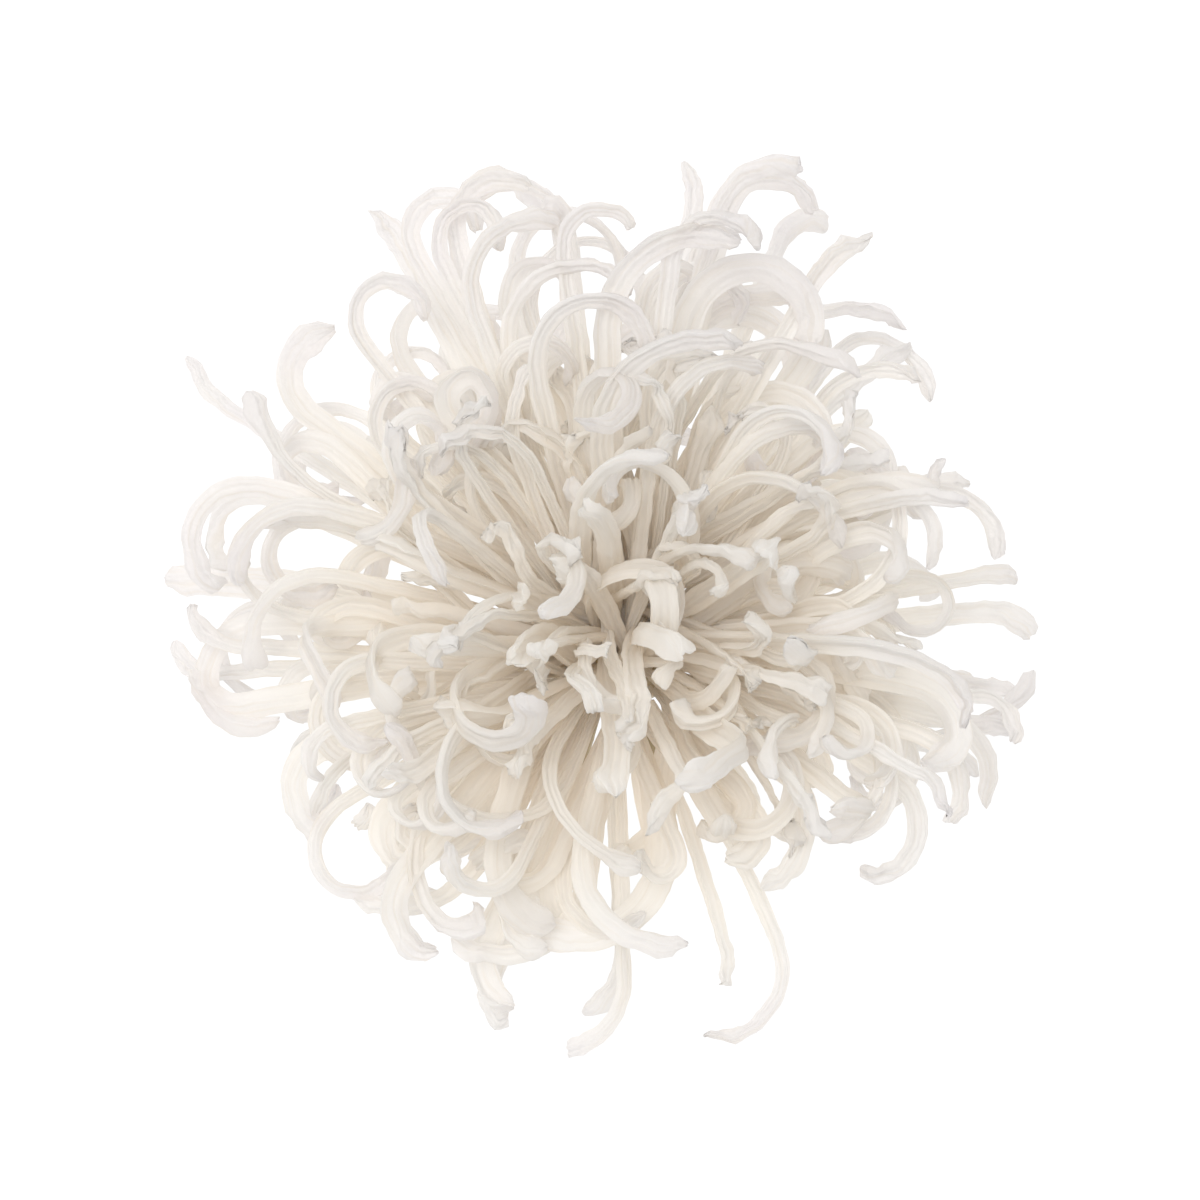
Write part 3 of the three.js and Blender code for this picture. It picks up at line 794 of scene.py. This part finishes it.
# %% Preserved petal
def preserved_petal():
    """Bleached petal kept in a wax-like fluid: satin skin, light passes through."""
    material = bpy.data.materials.new("preserved_petal")
    material.use_nodes = True
    tree = material.node_tree
    tree.nodes.clear()
    grain = put(tree, "ShaderNodeAttribute", attribute_name="grain").node.outputs["Vector"]
    parts = put(tree, "ShaderNodeSeparateXYZ", {0: grain}).node.outputs
    place = put(tree, "ShaderNodeTexCoord").node.outputs["Object"]

    # Warmer beige at the root is painted warm shade for the deep, crowded middle; paler towards
    # the tip, with soft patches of about 8 mm.
    root_shade_fade = put(tree, "ShaderNodeMapRange",
                  {0: parts["Y"], 1: 2 * MM, 2: 38 * MM, 3: 0.0, 4: 1.0})
    patch = put(tree, "ShaderNodeTexNoise", {"Vector": place, "Scale": 1 / PATCH_SIZE,
                                             "Detail": 3.0})
    colour = put(tree, "ShaderNodeMix", {0: root_shade_fade, 6: linear(PETAL_ROOT_SHADE_BEIGE),
                                         7: linear(PETAL_CREAM)}, data_type="RGBA")
    tip = put(tree, "ShaderNodeMapRange",
              {0: parts["Y"], 1: 30 * MM, 2: 50 * MM, 3: 0.0, 4: 1.0})
    pale = put(tree, MATH, {0: tip, 1: patch}, operation="MULTIPLY")
    pale = put(tree, MATH, {0: pale, 1: 1.6}, operation="MULTIPLY")
    colour = put(tree, "ShaderNodeMix", {0: pale, 6: colour, 7: linear(PETAL_PALE)},
                 data_type="RGBA")

    # Veins run along the blade: a noise across it, stretched along.
    across = put(tree, MATH, {0: parts["X"], 1: VEIN_SPACING}, operation="DIVIDE")
    along = put(tree, MATH, {0: parts["Y"], 1: VEIN_LENGTH}, operation="DIVIDE")
    stretched = put(tree, "ShaderNodeCombineXYZ", {0: across, 1: along, 2: parts["Z"]})
    veins = put(tree, "ShaderNodeTexNoise", {"Vector": stretched, "Scale": 1.0,
                                             "Detail": 4.0, "Roughness": 0.55})
    vein_mask = put(tree, "ShaderNodeMapRange",
                    {0: veins, 1: 0.30, 2: 0.50, 3: VEIN_SHOW, 4: 0.0})
    colour = put(tree, "ShaderNodeMix", {0: vein_mask, 6: colour, 7: linear(PETAL_VEIN)},
                 data_type="RGBA")

    # Wrinkles are deeper where the tip has dried and shrunk.
    wrinkle = put(tree, "ShaderNodeTexNoise", {"Vector": place, "Scale": 1 / WRINKLE_SIZE,
                                               "Detail": 3.0})
    crisp = put(tree, MATH, {0: tip, 1: 1.6, 2: 0.3}, operation="MULTIPLY_ADD")
    height = put(tree, MATH, {0: wrinkle, 1: crisp, 2: veins}, operation="MULTIPLY_ADD")
    bump = put(tree, "ShaderNodeBump", {"Height": height, "Strength": 0.7,
                                        "Distance": RELIEF})
    rough = put(tree, "ShaderNodeMapRange", {0: patch, 1: 0.3, 2: 0.7, 3: 0.5, 4: 0.68})
    skin = put(tree, "ShaderNodeBsdfPrincipled", {
        "Base Color": colour, "Roughness": rough, "IOR": PETAL_IOR, "Normal": bump,
        "Specular IOR Level": 0.4})
    glow = put(tree, "ShaderNodeBsdfTranslucent", {"Color": colour, "Normal": bump})
    sheet = put(tree, "ShaderNodeMixShader", {0: LIGHT_THROUGH, 1: skin, 2: glow})
    put(tree, "ShaderNodeOutputMaterial", {"Surface": sheet})
    return material


PETAL = preserved_petal()
print("made", PETAL.name)

# %% [markdown]
# ## Making the florets
# Each path becomes a line of points that carries width, thickness, cup and crumple. One
# object per floret of the frame lets each stand for its own node. The others are joined by
# whorl, because a few large pieces are lighter to keep than hundreds of small ones.

# %% What each station of a path says
TIP_CRUMPLE = 3.0 * MM
BODY_CRUMPLE = 0.8 * MM
VISIBLE_THICKNESS = 0.9
KNOB_SIZES = [0.3, 0.5, 0.8, 1.1]
OPEN_MOUTHS = 0.3


def path_values(blade, seed):
    """What each station of a blade carries to the tree."""
    dice = random.Random(seed)
    share = np.linspace(0, 1, blade["steps"] + 1)
    knob = dice.choice(KNOB_SIZES) * smoothstep(share, 0.84, 0.93)
    open_mouth = 1.0 if dice.random() < OPEN_MOUTHS * blade["ruffle"] else 0.0
    rounded = np.sqrt(1 - (0.7 - 0.3 * open_mouth) * smoothstep(share, 0.96, 1.0) ** 2)
    body = dice.uniform(0.5, 0.8) + (0.1 if blade["width"] > FLORET_WIDTH else 0)
    width = width_at(blade, share) * (body + 0.4 * knob) * rounded
    thin = 1 - 0.2 * smoothstep(share, 0.1, 0.6)
    thick = blade["thick"] * VISIBLE_THICKNESS * thin * (1 + 1.6 * knob) * rounded
    rough_tip = dice.uniform(0.35, 1.0) * TIP_CRUMPLE * blade["ruffle"]
    crumple = (BODY_CRUMPLE * smoothstep(share, 0.15, 0.5)
               + rough_tip * smoothstep(share, 0.88 - 0.1 * blade["ruffle"], 1.0))
    return {
        "share": share, "width": width, "thick": thick,
        "cup": dice.uniform(-0.30, 0.55) * smoothstep(share, 0.1, 0.5),
        "pleat": dice.uniform(0.02, 0.10) * smoothstep(share, 0.05, 0.4),
        "mouth": np.full_like(share, open_mouth), "crumple": crumple,
        "seed": np.full_like(share, dice.uniform(0, 90)),
        "run": np.full_like(share, blade["length"]), "across": blade["across"],
    }


def path_mesh(name, group, first_seed):
    """One mesh of polylines, one for each blade, with the attributes the tree reads."""
    points, edges, values = [], [], {key: [] for key in PATH_ATTRIBUTES}
    for index, blade in enumerate(group):
        start = len(points)
        points.extend(blade["points"] + SHIFT)
        edges.extend((start + k, start + k + 1) for k in range(blade["steps"]))
        for key, value in path_values(blade, first_seed + index).items():
            values[key].append(value)
    mesh = bpy.data.meshes.new(name)
    mesh.from_pydata([tuple(p) for p in points], edges, [])
    for key, kind in PATH_ATTRIBUTES.items():
        data = np.concatenate(values[key])
        target = mesh.attributes.new(key, kind, "POINT").data
        slot = "vector" if kind == "FLOAT_VECTOR" else "value"
        target.foreach_set(slot, data.astype(np.float32).ravel())
    return mesh


# %% Run the tree and keep a plain mesh
def socket_id(tree, label):
    return next(item.identifier for item in tree.interface.items_tree
                if item.name == label and item.in_out == "INPUT")


def blade_piece(name, group, first_seed, material, **sizes):
    """A finished piece: the tree is run on the paths and its result kept as a mesh."""
    maker = bpy.data.objects.new(name + "_paths", path_mesh(name + "_paths", group,
                                                            first_seed))
    bpy.context.scene.collection.objects.link(maker)
    modifier = maker.modifiers.new("blades", "NODES")
    modifier.node_group = FLORET_TREE
    modifier[socket_id(FLORET_TREE, "Material")] = material
    for label, value in sizes.items():
        modifier[socket_id(FLORET_TREE, label)] = value
    graph = bpy.context.evaluated_depsgraph_get()
    mesh = bpy.data.meshes.new_from_object(maker.evaluated_get(graph),
                                           preserve_all_data_layers=True, depsgraph=graph)
    piece = bpy.data.objects.new(name, mesh)
    mesh.name = name
    bpy.context.scene.collection.objects.link(piece)
    bpy.data.objects.remove(maker)
    return piece


# %% The florets of the frame
faces = 0
for index, blade in enumerate(blades):
    piece = blade_piece(f"petal_{index + 1:02d}", [blade], 100 + index, PETAL)
    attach(piece, "root")
    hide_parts(blade["name"])
    faces += len(piece.data.polygons)
print("faces in the frame's florets:", faces)

# %% The other florets, by whorl
others.sort(key=lambda blade: float(blade["heading"][2]))
WHORL_COUNT = 8
faces = 0
for whorl in range(WHORL_COUNT):
    first = whorl * len(others) // WHORL_COUNT
    after = (whorl + 1) * len(others) // WHORL_COUNT
    piece = blade_piece(f"whorl_{whorl + 1}", others[first:after], 1000 + first, PETAL)
    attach(piece, "root")
    faces += len(piece.data.polygons)
print("faces in the other florets:", faces)

# %% [markdown]
# ## Bracts
# Under the head sit small dry scales, the bracts, which held the bud shut. They are short,
# broad and papery. They are blades too, so the same tree makes them, with fewer stations, a
# shallower mouth and a matt straw-brown finish.

# %% Dry bract finish
MOTTLE_SIZE = 1.5 * MM


def dry_bract(name, light, dark):
    """Air-dried plant skin: matt, mottled and slightly rough, with no light through it."""
    material = bpy.data.materials.new(name)
    material.use_nodes = True
    tree = material.node_tree
    tree.nodes.clear()
    place = put(tree, "ShaderNodeTexCoord").node.outputs["Object"]
    mottle = put(tree, "ShaderNodeTexNoise", {"Vector": place, "Scale": 1 / MOTTLE_SIZE,
                                              "Detail": 5.0})
    colour = put(tree, "ShaderNodeMix", {0: mottle, 6: linear(dark), 7: linear(light)},
                 data_type="RGBA")
    bump = put(tree, "ShaderNodeBump", {"Height": mottle, "Strength": 0.6,
                                        "Distance": RELIEF})
    rough = put(tree, "ShaderNodeMapRange", {0: mottle, 1: 0.3, 2: 0.7, 3: 0.65, 4: 0.85})
    skin = put(tree, "ShaderNodeBsdfPrincipled",
               {"Base Color": colour, "Roughness": rough, "Normal": bump})
    put(tree, "ShaderNodeOutputMaterial", {"Surface": skin})
    return material


BRACT = dry_bract("dry_bract", "#CDBE9E", "#8C7B58")
STALK = dry_bract("dried_stalk", "#D3C5A6", "#9C8A66")
print("made", BRACT.name, "and", STALK.name)

# %% Make the bracts
for index, blade in enumerate(bracts):
    piece = blade_piece(f"scale_{index + 1}", [blade], 3000 + index, BRACT,
                        **{"Stations": 18, "Ragged edge": 0.6 * MM,
                           "Mouth depth": 0.3 * MM})
    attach(piece, "root")
    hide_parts(blade["name"])
print("bracts made:", len(bracts))

# %% [markdown]
# ## Stem and receptacle
# The stem ends in the receptacle, the round bed that all florets grow from. It is a turned
# shape with fine ridges, so rings of points along the head's axis make it, with the ridges
# as a small ripple in each ring.

# %% Turn the stem
STEM_SIDES, RIDGES = 72, 12
SHANK_RINGS = 12
WIDENING = 2 * MM
RIDGE_HEIGHT = 0.12 * MM


def stem_profile():
    """Height along the axis and radius of each ring, from the cut end to the top."""
    end = -RECEPTACLE_RADIUS - STEM_LENGTH
    rings = [(end + 0.2 * MM, 0.0), (end, STEM_RADIUS * 0.6),
             (end + 0.1 * MM, STEM_RADIUS * 0.97)]
    for step in range(1, SHANK_RINGS + 1):
        rings.append((end + (STEM_LENGTH - WIDENING) * step / SHANK_RINGS, STEM_RADIUS))
    for angle in range(-56, 90, 5):
        a = math.radians(angle)
        rings.append((RECEPTACLE_RADIUS * math.sin(a), RECEPTACLE_RADIUS * math.cos(a)))
    rings.append((RECEPTACLE_RADIUS, 0.0))
    return rings


def turned_stem(name, material):
    side = np.array([1.0, 0.0, 0.0])
    front = np.cross(AXIS, side)
    points, faces, before = [], [], None
    for height, radius in stem_profile():
        first = len(points)
        count = 1 if radius == 0 else STEM_SIDES
        for k in range(count):
            a = 2 * math.pi * k / STEM_SIDES
            ripple = radius - (RIDGE_HEIGHT * (1 + math.cos(RIDGES * a)) if radius else 0)
            around = side * math.cos(a) + front * math.sin(a)
            points.append(HEAD_PLACE + AXIS * height + around * ripple)
        if before is not None:
            low, low_count = before
            for k in range(STEM_SIDES):
                after = (k + 1) % STEM_SIDES
                if low_count == 1:
                    faces.append((low, first + after, first + k))
                elif count == 1:
                    faces.append((low + k, low + after, first))
                else:
                    faces.append((low + k, low + after, first + after, first + k))
        before = (first, count)
    mesh = bpy.data.meshes.new(name)
    mesh.from_pydata([tuple(p) for p in points], [], faces)
    mesh.materials.append(material)
    mesh.shade_smooth()
    piece = bpy.data.objects.new(name, mesh)
    bpy.context.scene.collection.objects.link(piece)
    return piece


stalk = turned_stem("stalk", STALK)
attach(stalk, "root")
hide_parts("stem")
print("stem points:", len(stalk.data.vertices))

# %% [markdown]
# ## Light table, lamps and camera
# The flower lies on a pale surface that glows softly, like a light table: light comes up
# through the florets and leaves hardly a shadow. A wide soft sun overhead, one soft lamp from
# the side and a pale sky model them from above.

# %% A glowing pale floor
FLOOR_GLOW = 1.0
FLOOR_SIZE = 30.0
FLOOR_DROP = 0.2 * MM


def light_table():
    """Opal glass lit from below: grey by itself, white by its own light."""
    material = bpy.data.materials.new("light_table")
    material.use_nodes = True
    shader = material.node_tree.nodes["Principled BSDF"]
    shader.inputs["Base Color"].default_value = linear("#5A5A5A")
    shader.inputs["Roughness"].default_value = 0.7
    shader.inputs["Emission Color"].default_value = linear("#FFFFFF")
    shader.inputs["Emission Strength"].default_value = FLOOR_GLOW
    return material


bpy.ops.mesh.primitive_plane_add(size=FLOOR_SIZE, location=(0, 0, -FLOOR_DROP))
floor = bpy.context.object
floor.name = "floor"
floor.data.materials.append(light_table())
print("floor lies below the flower by mm:", FLOOR_DROP / MM)

# %% Lamps and sky
SUN_STRENGTH = 2.0
SUN_SPREAD = 32
SKY_STRENGTH = 0.48


def soft_lamp(name, place, size, power):
    data = bpy.data.lights.new(name, "AREA")
    data.shape, data.size, data.energy = "DISK", size, power
    lamp = bpy.data.objects.new(name, data)
    lamp.location = place
    lamp.rotation_euler = (-lamp.location).to_track_quat("-Z", "Y").to_euler()
    bpy.context.scene.collection.objects.link(lamp)
    return lamp


sun = bpy.data.lights.new("overhead", "SUN")
sun.energy = SUN_STRENGTH
sun.angle = math.radians(SUN_SPREAD)
overhead = bpy.data.objects.new("overhead", sun)
overhead.rotation_euler = (math.radians(-8), math.radians(-10), 0)
bpy.context.scene.collection.objects.link(overhead)
soft_lamp("key", (-0.5, 0.45, 0.9), 0.5, 2.0)
world = bpy.data.worlds.new("pale sky")
world.use_nodes = True
world.node_tree.nodes["Background"].inputs["Color"].default_value = linear("#F7F8FA")
world.node_tree.nodes["Background"].inputs["Strength"].default_value = SKY_STRENGTH
bpy.context.scene.world = world
print("lamps:", overhead.name, "and key; sky:", world.name)

# %% Camera
CAMERA_HEIGHT = 450 * MM
VIEW_WIDTH = 150 * MM
VIEW_LEVEL = 28 * MM
SENSOR_WIDTH = 36.0
LIGHT_BOUNCES = 24
camera_data = bpy.data.cameras.new("camera")
camera_data.sensor_width = SENSOR_WIDTH
camera_data.lens = SENSOR_WIDTH * (CAMERA_HEIGHT - VIEW_LEVEL) / VIEW_WIDTH
camera_data.clip_start = 0.01
camera = bpy.data.objects.new("camera", camera_data)
camera.location = (0.7 * MM, -0.3 * MM, CAMERA_HEIGHT)
bpy.context.scene.collection.objects.link(camera)
bpy.context.scene.camera = camera
bpy.context.scene.view_settings.view_transform = "Standard"
bpy.context.scene.view_settings.gamma = 1.4
bpy.context.scene.cycles.max_bounces = LIGHT_BOUNCES
bpy.context.scene.cycles.diffuse_bounces = LIGHT_BOUNCES
print("lens in mm:", round(camera_data.lens, 1))
